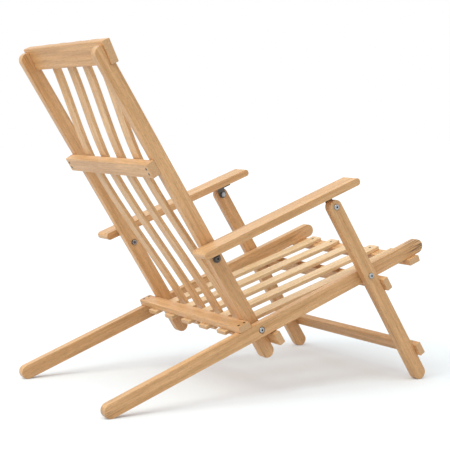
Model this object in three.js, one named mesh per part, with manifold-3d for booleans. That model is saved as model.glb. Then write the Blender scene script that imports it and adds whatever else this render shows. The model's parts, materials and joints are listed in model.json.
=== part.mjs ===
// A folding steamer deck chair of bare hardwood with stainless bolts, in millimetres, +Z up.
// The chair faces -Y. The origin is on the floor, under the middle of the chair.
// Right and left are the sitter's, so the right side is at -X.
//
// Four frames make it. The seat frame stands on the rear ends of its two rails. The back frame
// turns on the rails inside them, the leg frame turns on the rails outside them, and each
// armrest is a link between a stile of the back and a leg, so that the whole chair folds flat.

import * as THREE from 'three';
import { mergeVertices } from 'three/addons/utils/BufferGeometryUtils.js';
import Module from 'manifold-3d';

const wasm = await Module();
wasm.setup();

// Timber sections
const member_width = 38;          // rails, stiles and legs, seen from the side
const member_thickness = 24;      // the same, seen from the front
const bar_width = 36;             // cross bars
const bar_thickness = 18;
const bar_corner_radius = 2.5;
const mid_rail_width = 40;
const mid_rail_thickness = 24;
const top_rail_width = 61;
const top_rail_thickness = 21;
const slat_thickness = 10;
const seat_slat_width = 43;
const back_slat_width = 37;
const arris = 1.5;                // eased edge of the thick timbers
const slat_arris = 1;             // eased edge of the slats

// Lean of the open chair, in degrees above the floor
const seat_pitch = 20.4;
const back_lean = 58.4;

// Seat frame, measured along a rail between the centres of its round ends
const seat_clear_width = 506;     // between the rails
const rail_run = 1000;
const back_pivot_along = 458;
const pivot_spacing = 350;        // back pivot to leg pivot
const front_bar_setback = 30;     // from the centre of the rails' front ends
const bar_overhang = 12;          // bar ends past the members that they cross
const seat_slat_margin = 6.5;     // stile to the outermost seat slat
const seat_slat_count = 5;
const seat_slat_tail = 10;        // past the rear bar
const seat_slat_nose = 2;         // short of the front bar's front edge

// Back frame, measured along a stile from the back pivot
const stile_gap = 9;              // rail to stile
const stile_below = 74;
const mid_rail_up = 512;
const top_rail_foot = 783;        // bottom edge of the top rail
const stile_head = 37;            // centre of the round end above that edge
const top_rail_proud = 6.5;       // its bottom edge past the stiles' front edge
const top_rail_tilt = 7;          // degrees more upright than the stiles
const top_rail_overhang = 5;
const back_slat_head = 3;         // short of the top rail's top edge
const back_slat_touch = 37;       // below the middle of the mid rail, where the slats lie deepest
const back_slat_count = 4;

// Leg frame, measured along a leg from the leg pivot
const leg_gap = 3.5;              // rail to leg
const lower_leg_bar_down = 267;

// Armrests
const arm_link = 222;             // seat frame pivots to armrest pivots
const arm_lift = 28;              // armrest pivots to the underside
const arm_thickness = 20;
const arm_width = 62;
const arm_gap = 4;                // stile to armrest
const arm_rear_reach = 62;        // behind the rear pivot
const arm_front_reach = 92;       // past the front pivot
const arm_end_radius = 9.5;       // of the rounded ends, seen from the side
const arm_corner_radius = 4;      // of the corners, seen from above

// Armrest brackets
const bracket_steel = 2.5;
const bracket_tab_radius = 11;
const bracket_plate_length = 40;
const bracket_plate_width = 32;

// Bolts, nuts, washers and spacers
const bolt_radius = 4;
const bolt_head_radius = 8;
const bolt_head_height = 4.5;
const bolt_crown = 3.4;           // height of the head's domed part
const socket_radius = 2.9;        // to the corners of the hexagon
const socket_rim = 0.8;           // flat round the socket
const socket_depth = 2.6;
const nut_across_flats = 13;
const nut_height = 6;
const washer_radius = 9;
const recess_radius = 9.5;        // counterbores
const recess_depth = 3;           // of those that a head or a nut stands out of
const bolt_end = 0.7;             // past the nut
const insert_radius = 6;          // threaded inserts in the rails, for the leg pivots
const insert_length = 14;

// Countersunk wood screws
const screw_head_radius = 3.8;
const screw_head_depth = 2.2;
const screw_shank_radius = 1.9;
const long_screw = 34;            // bar to member
const slat_screw = 22;            // slat to bar
const screw_spread = 18;          // between the two screws of one joint

// Clearances and faceting
const fit = 0.3;                  // between pieces that touch
const open_fit = 0.5;             // round the front armrest bolts
const overrun = 2;                // of a cutter past the face that it opens
const weld = 0.0001;
const arc_steps = 9;              // along each arc of an outline
const corner_steps = 3;           // along each corner of a bar, or of an armrest seen from above
const round_steps = 16;           // round a bolt or washer
const crown_steps = 3;            // up the dome of a bolt head
const screw_steps = 8;            // round a screw
const curve_steps = 12;           // along each bend of a back slat

// Derived places across the chair, from the middle to the sitter's right
const rail_inner = seat_clear_width / 2;
const rail_outer = rail_inner + member_thickness;
const rail_across = (rail_inner + rail_outer) / 2;
const stile_outer = rail_inner - stile_gap;
const stile_inner = stile_outer - member_thickness;
const stile_across = (stile_inner + stile_outer) / 2;
const leg_inner = rail_outer + leg_gap;
const leg_outer = leg_inner + member_thickness;
const leg_across = (leg_inner + leg_outer) / 2;
const arm_inner = stile_outer + arm_gap;
const arm_across = arm_inner + arm_width / 2;
const slat_pitch = 2 * (stile_inner - seat_slat_margin - seat_slat_width / 2) / (seat_slat_count - 1);

// Derived places in the side view: x forward, y up, from the rail's rear end centre
const half_member = member_width / 2;
const stile_above = top_rail_foot + stile_head;
const half_turn = 180;
const lean_to_rail = THREE.MathUtils.degToRad(half_turn - back_lean - seat_pitch);
const front_bar_along = rail_run - front_bar_setback;
const leg_pivot_along = back_pivot_along + pivot_spacing;
const leg_below = leg_pivot_along * sine(seat_pitch) / sine(back_lean);
const bar_offset = half_member + fit + bar_thickness / 2;
const bar_face = bar_offset + bar_thickness / 2;
const mid_rail_offset = half_member + fit + mid_rail_thickness / 2;
const mid_rail_face = mid_rail_offset + mid_rail_thickness / 2;
const mid_rail_screw = long_screw + mid_rail_thickness - bar_thickness;

const rail_rear = new THREE.Vector2(0, half_member);
const back_pivot = step(rail_rear, seat_pitch, back_pivot_along);
const leg_pivot = step(rail_rear, seat_pitch, leg_pivot_along);
const arm_rear_pivot = step(back_pivot, half_turn - back_lean, arm_link);

// The stiles lean on the front edge of the rear seat bar
const rear_bar_front = back_pivot_along - fit
  + (bar_face - half_member * Math.cos(lean_to_rail)) / Math.tan(lean_to_rail)
  - half_member * Math.sin(lean_to_rail);
const rear_bar_along = rear_bar_front - bar_width / 2;

// The lower back bar and the upper leg bar stop against the underside of the rails
const stop_edge = (bar_face * Math.cos(lean_to_rail) - half_member - fit) / Math.sin(lean_to_rail);
const stop_bar_middle = stop_edge - bar_width / 2;

const sides = [['right', 1], ['left', -1]];

// Finishes
const timber = new THREE.MeshStandardMaterial({ color: 0xc89a6c, roughness: 0.72, metalness: 0 });
const slat_timber = new THREE.MeshStandardMaterial({ color: 0xd8ae82, roughness: 0.72, metalness: 0 });
const steel = new THREE.MeshStandardMaterial({ color: 0xa9adb0, roughness: 0.35, metalness: 1 });

function sine(degrees) {
  return Math.sin(THREE.MathUtils.degToRad(degrees));
}

// The point at a distance from another, in a direction given in degrees
function step(from, degrees, distance) {
  const angle = THREE.MathUtils.degToRad(degrees);
  return new THREE.Vector2(Math.cos(angle), Math.sin(angle)).multiplyScalar(distance).add(from);
}

// One closed surface with shared corners and no collapsed triangle
function closed(geometry) {
  const bare = new THREE.BufferGeometry();
  bare.setAttribute('position', geometry.getAttribute('position'));
  bare.setIndex(geometry.index);
  const merged = mergeVertices(bare, weld);
  const corners = merged.index.array;
  const kept = [];
  for (let i = 0; i < corners.length; i += 3) {
    const [a, b, c] = corners.slice(i, i + 3);
    if (a !== b && b !== c && c !== a) kept.push(a, b, c);
  }
  merged.setIndex(kept);
  return merged;
}

function solid(geometry) {
  const shell = closed(geometry);
  return new wasm.Manifold(new wasm.Mesh({
    numProp: 3,
    vertProperties: new Float32Array(shell.getAttribute('position').array),
    triVerts: new Uint32Array(shell.index.array),
  }));
}

function shellOf(body) {
  const mesh = body.getMesh();
  const geometry = new THREE.BufferGeometry();
  geometry.setAttribute('position', new THREE.BufferAttribute(mesh.vertProperties, 3));
  geometry.setIndex(new THREE.BufferAttribute(mesh.triVerts, 1));
  return geometry;
}

function cut(geometry, cutters) {
  return shellOf(cutters.reduce((left, cutter) => left.subtract(solid(cutter)), solid(geometry)));
}

function joined(geometries) {
  return shellOf(geometries.map(solid).reduce((whole, next) => whole.add(next)));
}

// An outline in the side view given its thickness across the chair, with eased edges
function board(outline, thickness, ease, steps = arc_steps) {
  const depth = thickness - 2 * ease;
  const geometry = new THREE.ExtrudeGeometry(outline, {
    depth,
    curveSegments: steps,
    bevelThickness: ease,
    bevelSize: ease,
    bevelOffset: -ease,
    bevelSegments: 1,
  });
  return geometry.translate(0, 0, -depth / 2);
}

function roundHole(x, radius) {
  return new THREE.Path().absarc(x, 0, radius, 0, 2 * Math.PI, true);
}

// A rail, stile or leg: straight, with round ends and bolt holes on its middle line
function member(from, to, pivots) {
  const outline = new THREE.Shape();
  outline.absarc(to, 0, half_member, -Math.PI / 2, Math.PI / 2, false);
  outline.absarc(from, 0, half_member, Math.PI / 2, 1.5 * Math.PI, false);
  outline.holes = pivots.map((x) => roundHole(x, bolt_radius + fit));
  return board(outline, member_thickness, arris);
}

// The corner arcs of a rectangle: their middles, and the angles at which they start
function corners(width, height, radius) {
  return [[1, -1], [1, 1], [-1, 1], [-1, -1]].map(([h, v], quarter) => ({
    x: h * (width / 2 - radius), y: v * (height / 2 - radius), start: (quarter - 1) * Math.PI / 2,
  }));
}

function roundedRectangle(width, height, radius) {
  const outline = new THREE.Shape();
  for (const { x, y, start } of corners(width, height, radius)) {
    outline.absarc(x, y, radius, start, start + Math.PI / 2, false);
  }
  return outline;
}

// A cross bar of a given length, laid flat
function bar(length, width = bar_width, thickness = bar_thickness) {
  return board(roundedRectangle(width, thickness, bar_corner_radius), length, arris, corner_steps);
}

// Round work about the Z axis from its half section
function turned(profile) {
  const points = profile.map(([radius, height]) => new THREE.Vector2(radius, height));
  return new THREE.LatheGeometry(points, round_steps).rotateX(Math.PI / 2);
}

function ring(outer, inner, height) {
  const z = height / 2;
  return turned([[inner, -z], [outer, -z], [outer, z], [inner, z], [inner, -z]]);
}

function plug(radius, from, to) {
  return new THREE.CylinderGeometry(radius, radius, to - from, 2 * round_steps)
    .rotateX(Math.PI / 2).translate(0, 0, (from + to) / 2);
}

// A button head bolt along Z: the underside of its head at `under`, its end at `tip`
function bolt(under, tip) {
  const top = under + bolt_head_height;
  const flat = socket_radius + socket_rim;
  const dome = Array.from({ length: crown_steps + 1 }, (_, i) => {
    const angle = i / crown_steps * Math.PI / 2;
    return [flat + (bolt_head_radius - flat) * Math.cos(angle), top - bolt_crown * (1 - Math.sin(angle))];
  });
  const body = turned([
    [0, tip], [bolt_radius, tip], [bolt_radius, under], [bolt_head_radius, under], ...dome, [0, top],
  ]);
  const socket = new THREE.CylinderGeometry(socket_radius, socket_radius, socket_depth + overrun, 6)
    .rotateX(Math.PI / 2).translate(0, 0, top + (overrun - socket_depth) / 2);
  return cut(body, [socket]);
}

// A hexagon nut along Z, with one face at `face` and the rest below it
function nut(face) {
  const reach = nut_across_flats / 2 / Math.cos(Math.PI / 6);
  const outline = new THREE.Shape(Array.from({ length: 6 }, (_, corner) => {
    const angle = corner * Math.PI / 3;
    return new THREE.Vector2(reach * Math.cos(angle), reach * Math.sin(angle));
  }));
  outline.holes = [roundHole(0, bolt_radius + fit)];
  return new THREE.ExtrudeGeometry(outline, {
    depth: nut_height, bevelEnabled: false, curveSegments: arc_steps,
  }).translate(0, 0, face - nut_height);
}

// A countersunk screw, or with a clearance the hole for one. Its head is flush at its origin, and
// it points down the Y axis.
function screw(length, clearance = 0) {
  const head = screw_head_radius + clearance;
  const shank = screw_shank_radius + clearance;
  const profile = [
    [0, -length - clearance], [shank, -length - clearance], [shank, -screw_head_depth], [head, 0],
  ];
  if (clearance) profile.push([head, overrun], [0, overrun]);
  else profile.push([0, 0]);
  const points = profile.map(([radius, height]) => new THREE.Vector2(radius, height));
  return new THREE.LatheGeometry(points, screw_steps);
}

function screwHole({ at, across, turn, length }) {
  return screw(length, fit).rotateZ(THREE.MathUtils.degToRad(turn)).translate(...at, across);
}

// Distances across the chair of `count` slats set evenly about the middle
function row(count, pitch) {
  return Array.from({ length: count }, (_, i) => (i - (count - 1) / 2) * pitch);
}

function frame(parent, origin, degrees) {
  const group = new THREE.Group();
  group.position.set(origin.x, origin.y, 0);
  group.rotation.z = THREE.MathUtils.degToRad(degrees);
  parent.add(group);
  return group;
}

// Adds a piece to a frame. Its cutters are given in the frame's own directions.
function piece(parent, name, geometry, finish, { at = [0, 0], across = 0, turn = 0, cutters = [] } = {}) {
  const mesh = new THREE.Mesh(geometry, finish);
  mesh.name = name;
  mesh.position.set(at[0], at[1], across);
  mesh.rotation.z = THREE.MathUtils.degToRad(turn);
  mesh.updateMatrix();
  const inwards = mesh.matrix.clone().invert();
  const shaped = cut(geometry, cutters.map((cutter) => cutter.clone().applyMatrix4(inwards)));
  mesh.geometry = shaped.toNonIndexed();
  mesh.geometry.computeVertexNormals();
  parent.add(mesh);
}

// A solid that is modelled for the right side, or its copy for the left
function sided(geometry, side) {
  return side > 0 ? geometry : geometry.clone().rotateX(Math.PI);
}

// A fitting on each side, modelled for the right
function fittings(parent, name, geometry, x) {
  for (const [hand, side] of sides) {
    piece(parent, `${name}_${hand}`, sided(geometry, side), steel, { at: [x, 0] });
  }
}

function screws(parent, name, places) {
  places.forEach(({ at, across, turn, length }, i) => {
    piece(parent, `${name}_${i + 1}`, screw(length), steel, { at, across, turn });
  });
}

// A seat slat: flat under the rear bar and on the front bar, and straight between them
function seatSlatOutline() {
  const top = half_member;
  const foot = -half_member;
  const rear = rear_bar_front - bar_width - seat_slat_tail;
  const front_bar_rear = front_bar_along - bar_width / 2;
  const front = front_bar_along + bar_width / 2 - seat_slat_nose;
  const points = [
    [rear, top - slat_thickness], [rear_bar_front, top - slat_thickness],
    [front_bar_rear, foot], [front, foot], [front, foot + slat_thickness],
    [front_bar_rear, foot + slat_thickness], [rear_bar_front, top], [rear, top],
  ];
  return new THREE.Shape(points.map(([x, y]) => new THREE.Vector2(x, y)));
}

// A smooth bend from one height up the stile to another, as the depth of the slat's rear face
// behind the pivot line. It starts along the stile and ends at a given slope.
function bend(from, to, depth_from, depth_to, slope_to) {
  return Array.from({ length: curve_steps }, (_, i) => {
    const share = (i + 1) / curve_steps;
    const ease = share * share * (3 - 2 * share);
    const lift = (to - from) * slope_to * (share ** 3 - share ** 2);
    return [from + (to - from) * share, depth_from + (depth_to - depth_from) * ease + lift];
  });
}

// A back slat, sprung over the mid rail: flat behind the lower bar, deepest just under the mid
// rail, and flat on the tilted front of the top rail
function backSlatOutline() {
  const tilt = THREE.MathUtils.degToRad(top_rail_tilt);
  const foot = stop_edge - bar_width;
  const deepest = mid_rail_up - back_slat_touch;
  const head = top_rail_foot + (top_rail_width - back_slat_head) * Math.cos(tilt);
  const foot_depth = slat_thickness - half_member;
  const head_depth = -half_member - top_rail_proud - fit;
  const slope = -Math.tan(tilt);
  const rear = [
    [foot, foot_depth], [stop_edge, foot_depth],
    ...bend(stop_edge, deepest, foot_depth, half_member, 0),
    ...bend(deepest, top_rail_foot, half_member, head_depth, slope),
    [head, head_depth + (head - top_rail_foot) * slope],
  ];
  const front = rear.map(([x, y], i) => {
    const before = rear[Math.max(i - 1, 0)];
    const after = rear[Math.min(i + 1, rear.length - 1)];
    const run = Math.hypot(after[0] - before[0], after[1] - before[1]);
    return [
      x + slat_thickness * (after[1] - before[1]) / run,
      y - slat_thickness * (after[0] - before[0]) / run,
    ];
  });
  return new THREE.Shape([...rear, ...front.reverse()].map(([x, y]) => new THREE.Vector2(x, y)));
}

// An L of flat steel: a round-ended tab on the pivot, and a plate under the armrest. `reach` is
// the direction across the chair in which the plate runs from the tab.
function bracket(tab_across, reach, hole_fit) {
  const plate_top = arm_lift - fit;
  const tab = new THREE.Shape();
  tab.absarc(0, 0, bracket_tab_radius, Math.PI, 2 * Math.PI, false);
  tab.lineTo(bracket_tab_radius, plate_top).lineTo(-bracket_tab_radius, plate_top);
  tab.holes = [roundHole(0, bolt_radius + hole_fit)];
  const upright = new THREE.ExtrudeGeometry(tab, {
    depth: bracket_steel, bevelEnabled: false, curveSegments: arc_steps,
  }).translate(0, 0, tab_across - bracket_steel / 2);
  const heel = tab_across - reach * bracket_steel / 2;
  const plate = new THREE.BoxGeometry(bracket_plate_length, bracket_steel, bracket_plate_width)
    .translate(0, plate_top - bracket_steel / 2, heel + reach * bracket_plate_width / 2);
  return joined([upright, plate]);
}

// An armrest: the long outline with round noses, common with the plan's round corners
function armrest(length) {
  const profile = board(roundedRectangle(length, arm_thickness, arm_end_radius), arm_width, arris);
  const plan = new THREE.ExtrudeGeometry(roundedRectangle(length, arm_width, arm_corner_radius), {
    depth: arm_thickness, bevelEnabled: false, curveSegments: corner_steps,
  }).rotateX(Math.PI / 2).translate(0, arm_thickness / 2, 0);
  return shellOf(solid(profile).intersect(solid(plan)));
}

const chair = new THREE.Group();
const side_view = new THREE.Group();
side_view.quaternion.setFromRotationMatrix(new THREE.Matrix4().makeBasis(
  new THREE.Vector3(0, -1, 0),
  new THREE.Vector3(0, 0, 1),
  new THREE.Vector3(-1, 0, 0),
));
side_view.position.y = rail_run * Math.cos(THREE.MathUtils.degToRad(seat_pitch)) / 2;
chair.add(side_view);

buildSeatFrame();
buildBackFrame();
buildLegFrame();
for (const [hand, side] of sides) buildArmrest(hand, side);

function buildSeatFrame() {
  const seat = frame(side_view, rail_rear, seat_pitch);
  const bar_screws = [-1, 1].flatMap((side) => [-1, 1].map((end) => ({
    at: [rear_bar_along + end * screw_spread / 2, bar_face],
    across: side * rail_across,
    turn: 0,
    length: long_screw,
  })));
  const slat_screws = row(seat_slat_count, slat_pitch).map((across) => ({
    at: [front_bar_along, slat_thickness - half_member], across, turn: 0, length: slat_screw,
  }));
  const holes = [...bar_screws, ...slat_screws].map(screwHole);
  const head_recess = plug(recess_radius, rail_outer - recess_depth, rail_outer + overrun)
    .translate(back_pivot_along, 0, 0);
  const insert_end = rail_outer - fit - insert_length;
  const insert_bore = plug(insert_radius + fit, insert_end - fit, rail_outer + overrun)
    .translate(leg_pivot_along, 0, 0);

  for (const [hand, side] of sides) {
    piece(seat, `seat_rail_${hand}`, member(0, rail_run, [back_pivot_along]), timber, {
      across: side * rail_across,
      cutters: [...holes, sided(head_recess, side), sided(insert_bore, side)],
    });
  }
  piece(seat, 'rear_seat_bar', bar(2 * rail_outer), timber, {
    at: [rear_bar_along, bar_offset], cutters: holes,
  });
  piece(seat, 'front_seat_bar', bar(2 * (rail_outer + bar_overhang)), timber, {
    at: [front_bar_along, -bar_offset], cutters: holes,
  });
  row(seat_slat_count, slat_pitch).forEach((across, i) => {
    piece(seat, `seat_slat_${i + 1}`, board(seatSlatOutline(), seat_slat_width, slat_arris), slat_timber, {
      across, cutters: holes,
    });
  });
  screws(seat, 'rear_bar_screw', bar_screws);
  screws(seat, 'seat_slat_screw', slat_screws);

  // Back pivots: the head sunk in the rail, a spacer in the gap and the nut half sunk in the stile
  const back_nut = stile_inner + recess_depth - fit;
  const back_bolt = bolt(rail_outer - recess_depth + fit, back_nut - nut_height - bolt_end);
  const spacer = ring(washer_radius, bolt_radius + fit, stile_gap - 2 * fit);
  fittings(seat, 'back_pivot_bolt', back_bolt, back_pivot_along);
  fittings(seat, 'back_pivot_spacer', spacer.translate(0, 0, rail_inner - stile_gap / 2), back_pivot_along);
  fittings(seat, 'back_pivot_nut', nut(back_nut), back_pivot_along);

  // Leg pivots: the head on the leg, a washer in the gap and an insert in the rail
  const leg_bolt = bolt(leg_outer + fit, insert_end);
  const insert = ring(insert_radius, bolt_radius + fit, insert_length);
  const washer = ring(washer_radius, bolt_radius + fit, leg_gap - 2 * fit);
  fittings(seat, 'leg_pivot_bolt', leg_bolt, leg_pivot_along);
  fittings(seat, 'leg_pivot_washer', washer.translate(0, 0, rail_outer + leg_gap / 2), leg_pivot_along);
  fittings(seat, 'leg_pivot_insert', insert.translate(0, 0, insert_end + insert_length / 2), leg_pivot_along);
}

function buildBackFrame() {
  const back = frame(side_view, back_pivot, half_turn - back_lean);
  const tilt = THREE.MathUtils.degToRad(top_rail_tilt);
  const top_rail_face = -half_member - top_rail_proud;

  // The top rail's middle, from the bottom corner of its front face
  const top_rail_at = [
    top_rail_foot + (top_rail_width * Math.cos(tilt) + top_rail_thickness * Math.sin(tilt)) / 2,
    top_rail_face + (top_rail_thickness * Math.cos(tilt) - top_rail_width * Math.sin(tilt)) / 2,
  ];

  // The stile is notched for the top rail, open at the front and the top
  const notch_length = top_rail_width + member_width;
  const notch_depth = top_rail_thickness + member_width;
  const notch = new THREE.BoxGeometry(notch_length, notch_depth, member_thickness + 2 * overrun)
    .translate((notch_length - top_rail_width) / 2 - fit, (top_rail_thickness - notch_depth) / 2 + fit, 0)
    .rotateZ(-tilt)
    .translate(...top_rail_at, 0);
  const nut_recess = plug(recess_radius, stile_inner - overrun, stile_inner + recess_depth);
  const mid_rail_screws = [-1, 1].map((side) => ({
    at: [mid_rail_up, mid_rail_face], across: side * stile_across, turn: 0, length: mid_rail_screw,
  }));
  const holes = mid_rail_screws.map(screwHole);

  for (const [hand, side] of sides) {
    const recesses = [0, arm_link].map((x) => sided(nut_recess, side).clone().translate(x, 0, 0));
    piece(back, `back_stile_${hand}`, member(-stile_below, stile_above, [0, arm_link]), timber, {
      across: side * stile_across,
      cutters: [...holes, ...recesses, notch.clone().translate(0, 0, side * stile_across)],
    });
  }
  const top_rail_length = 2 * (stile_outer + top_rail_overhang);
  const top_rail_section = roundedRectangle(top_rail_width, top_rail_thickness, arris);
  const top_rail = board(top_rail_section, top_rail_length, arris, 1);
  piece(back, 'top_rail', top_rail, timber, { at: top_rail_at, turn: -top_rail_tilt });
  piece(back, 'mid_rail', bar(2 * stile_outer, mid_rail_width, mid_rail_thickness), timber, {
    at: [mid_rail_up, mid_rail_offset], cutters: holes,
  });
  piece(back, 'lower_back_bar', bar(2 * (rail_outer + bar_overhang)), timber, {
    at: [stop_bar_middle, -bar_offset],
  });
  row(back_slat_count, slat_pitch).forEach((across, i) => {
    piece(back, `back_slat_${i + 1}`, board(backSlatOutline(), back_slat_width, slat_arris), slat_timber, {
      across,
    });
  });
  screws(back, 'mid_rail_screw', mid_rail_screws);

  // Rear armrest pivots: the head on the bracket's tab and the nut half sunk in the stile
  const arm_nut = stile_inner + recess_depth - fit;
  const arm_bolt = bolt(stile_outer + 2 * fit + bracket_steel, arm_nut - nut_height - bolt_end);
  fittings(back, 'arm_rear_bolt', arm_bolt, arm_link);
  fittings(back, 'arm_rear_nut', nut(arm_nut), arm_link);
}

function buildLegFrame() {
  const legs = frame(side_view, leg_pivot, half_turn - back_lean);
  for (const [hand, side] of sides) {
    piece(legs, `leg_${hand}`, member(-leg_below, arm_link, [0, arm_link]), timber, {
      across: side * leg_across,
    });
  }
  for (const [name, middle] of [['upper_leg_bar', stop_bar_middle], ['lower_leg_bar', -lower_leg_bar_down]]) {
    piece(legs, name, bar(2 * (leg_outer + bar_overhang)), timber, { at: [middle, -bar_offset] });
  }

  // Front armrest pivots: the head on the leg and the nut on the bracket's tab
  const arm_nut = leg_inner - 2 * fit - bracket_steel;
  fittings(legs, 'arm_front_bolt', bolt(leg_outer + fit, arm_nut - nut_height - bolt_end), arm_link);
  fittings(legs, 'arm_front_nut', nut(arm_nut), arm_link);
}

function buildArmrest(hand, side) {
  const arm = frame(side_view, arm_rear_pivot, seat_pitch);
  const rear_tab = stile_outer + fit + bracket_steel / 2;
  const front_tab = leg_inner - fit - bracket_steel / 2;
  piece(arm, `armrest_${hand}`, armrest(arm_rear_reach + pivot_spacing + arm_front_reach), timber, {
    at: [(pivot_spacing + arm_front_reach - arm_rear_reach) / 2, arm_lift + arm_thickness / 2],
    across: side * arm_across,
  });
  piece(arm, `arm_rear_bracket_${hand}`, bracket(side * rear_tab, side, fit), steel);
  piece(arm, `arm_front_bracket_${hand}`, bracket(side * front_tab, -side, open_fit), steel, {
    at: [pivot_spacing, 0],
  });
}

export default chair;
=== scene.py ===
"""A folding steamer deck chair in bare hardwood, finished for a studio photograph on white.

The chair faces -Y. Its rails and armrests lie at one slope and its stiles and legs at another, and
both are read from the pivots of the frame. A board is made in the axes of its own slope, with X
across the chair and Y along the slope, and is then turned about X to where it belongs.
"""

import json
import math

import bmesh
import bpy
from mathutils import Matrix, Vector

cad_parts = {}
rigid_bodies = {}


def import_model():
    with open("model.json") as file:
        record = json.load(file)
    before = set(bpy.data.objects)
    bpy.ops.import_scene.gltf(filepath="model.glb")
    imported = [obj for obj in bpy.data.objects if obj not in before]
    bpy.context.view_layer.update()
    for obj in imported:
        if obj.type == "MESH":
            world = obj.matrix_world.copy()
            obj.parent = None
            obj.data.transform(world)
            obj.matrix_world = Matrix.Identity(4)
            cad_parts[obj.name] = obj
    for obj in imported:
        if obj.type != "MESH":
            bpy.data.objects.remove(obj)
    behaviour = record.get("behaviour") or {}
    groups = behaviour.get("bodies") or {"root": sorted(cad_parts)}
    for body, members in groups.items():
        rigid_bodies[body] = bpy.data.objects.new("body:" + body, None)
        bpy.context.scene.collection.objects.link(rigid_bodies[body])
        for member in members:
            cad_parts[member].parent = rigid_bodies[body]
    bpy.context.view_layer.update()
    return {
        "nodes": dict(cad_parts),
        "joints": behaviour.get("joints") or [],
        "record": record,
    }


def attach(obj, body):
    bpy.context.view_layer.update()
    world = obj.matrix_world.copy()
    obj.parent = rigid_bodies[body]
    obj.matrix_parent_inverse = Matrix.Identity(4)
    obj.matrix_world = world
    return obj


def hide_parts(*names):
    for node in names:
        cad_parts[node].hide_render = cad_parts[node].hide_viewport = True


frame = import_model()

bl_info = {
    "name": "Steamer deck chair",
    "version": (1, 0, 0),
    "blender": (4, 5, 0),
    "location": "View3D > Sidebar > Deck chair",
    "description": "Builds the timbers, slats, fittings and studio of a folding steamer deck chair",
    "category": "Object",
}

MM = 0.001
HANDS = ("right", "left")
ACROSS, ALONG, THROUGH = 0, 1, 2

# The pivots of the right side, and the slopes that they give, as turns about X
pivots = {joint["name"]: Vector(joint["pos_m"]) for joint in frame["joints"]}
BACK_PIVOT = pivots["back_fold"]
LEG_PIVOT = pivots["leg_fold"]
REAR_ARM_PIVOT = pivots["right_arm_swing"]
FRONT_ARM_PIVOT = LEG_PIVOT + REAR_ARM_PIVOT - BACK_PIVOT
RAIL_TURN = math.atan2(BACK_PIVOT.z - LEG_PIVOT.z, BACK_PIVOT.y - LEG_PIVOT.y)
STILE_TURN = math.atan2(REAR_ARM_PIVOT.z - BACK_PIVOT.z, REAR_ARM_PIVOT.y - BACK_PIVOT.y)
# The top rail stands this much more upright than the stiles
TOP_RAIL_TILT = math.radians(7)
TOP_RAIL_TURN = STILE_TURN + TOP_RAIL_TILT

BODY_OF = {node: body for body, nodes in frame["record"]["behaviour"]["bodies"].items() for node in nodes}

# Every board by its node: the slope that it lies at, and the axis of its grain
BOARDS = {
    "rear_seat_bar": (RAIL_TURN, ACROSS),
    "front_seat_bar": (RAIL_TURN, ACROSS),
    "mid_rail": (STILE_TURN, ACROSS),
    "lower_back_bar": (STILE_TURN, ACROSS),
    "upper_leg_bar": (STILE_TURN, ACROSS),
    "lower_leg_bar": (STILE_TURN, ACROSS),
    "top_rail": (TOP_RAIL_TURN, ACROSS),
}
BARS = tuple(BOARDS)
for hand in HANDS:
    BOARDS["seat_rail_" + hand] = BOARDS["armrest_" + hand] = (RAIL_TURN, ALONG)
    BOARDS["back_stile_" + hand] = BOARDS["leg_" + hand] = (STILE_TURN, ALONG)
SEAT_SLATS = tuple(sorted(n for n in frame["nodes"] if n.startswith("seat_slat") and "screw" not in n))
BACK_SLATS = tuple(sorted(n for n in frame["nodes"] if n.startswith("back_slat")))
BOARDS.update({slat: (RAIL_TURN, ALONG) for slat in SEAT_SLATS})
BOARDS.update({slat: (STILE_TURN, ALONG) for slat in BACK_SLATS})

# Width of the camera's sensor, in mm
SENSOR_WIDTH = 36.0
# How far cutters reach past the faces that they cut, and past the open sides of a notch
OVERRUN = 2 * MM
NOTCH_OVERRUN = 40 * MM
ROUND_STEPS = 40
SCREW_STEPS = 24
SMOOTH_ANGLE = math.radians(35)
# Points of a copied slat that lie this close are one, and its facets that turn less are one face
MERGE_DISTANCE = 0.01 * MM
FLAT_ANGLE = math.radians(0.4)
# How nearly a direction lies along an axis, from 0 to 1, to count as along it or across it
ALIGNED = 0.9
CROSSWISE = 0.1
# A round end takes this share of half the width, so that its two bevels just stay apart
ROUND_END_SHARE = 0.995
# Half the length and half the width of a cross recess's arms, as shares of a screw head's radius
CROSS_SHARES = (0.62, 0.16)
# How far apart the boards' patterns lie, in metres, so that no two boards look alike
PLANK_STEP = Vector((1.37, 2.11, 0.71))
# How strong the drying checks are at the front and the rear end: above 1 they stay dark for longer
CHECK_STRENGTHS = (1.8, 0.5)
# What scratches take from a metal's roughness and add to it
SMOOTHER_BY = 0.08
ROUGHER_BY = 0.1


def millimetres(name, description, size):
    """A length, given in millimetres and kept in metres."""
    return bpy.props.FloatProperty(name=name, description=description, default=size * MM, unit="LENGTH")


def degrees(name, description, turn):
    """An angle, given in degrees and kept in radians."""
    return bpy.props.FloatProperty(
        name=name, description=description, default=math.radians(turn), subtype="ANGLE"
    )


def fraction(name, description, value):
    """A number from 0 to 1, such as a roughness."""
    return bpy.props.FloatProperty(
        name=name, description=description, default=value, min=0, max=1, subtype="FACTOR"
    )


def amount(name, description, value):
    """A plain number, such as a lamp's strength."""
    return bpy.props.FloatProperty(name=name, description=description, default=value, min=0)


def colour_hex(name, description, value):
    """A colour, given as an sRGB hex value."""
    return bpy.props.StringProperty(name=name, description="sRGB hex of " + description, default=value)


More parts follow.
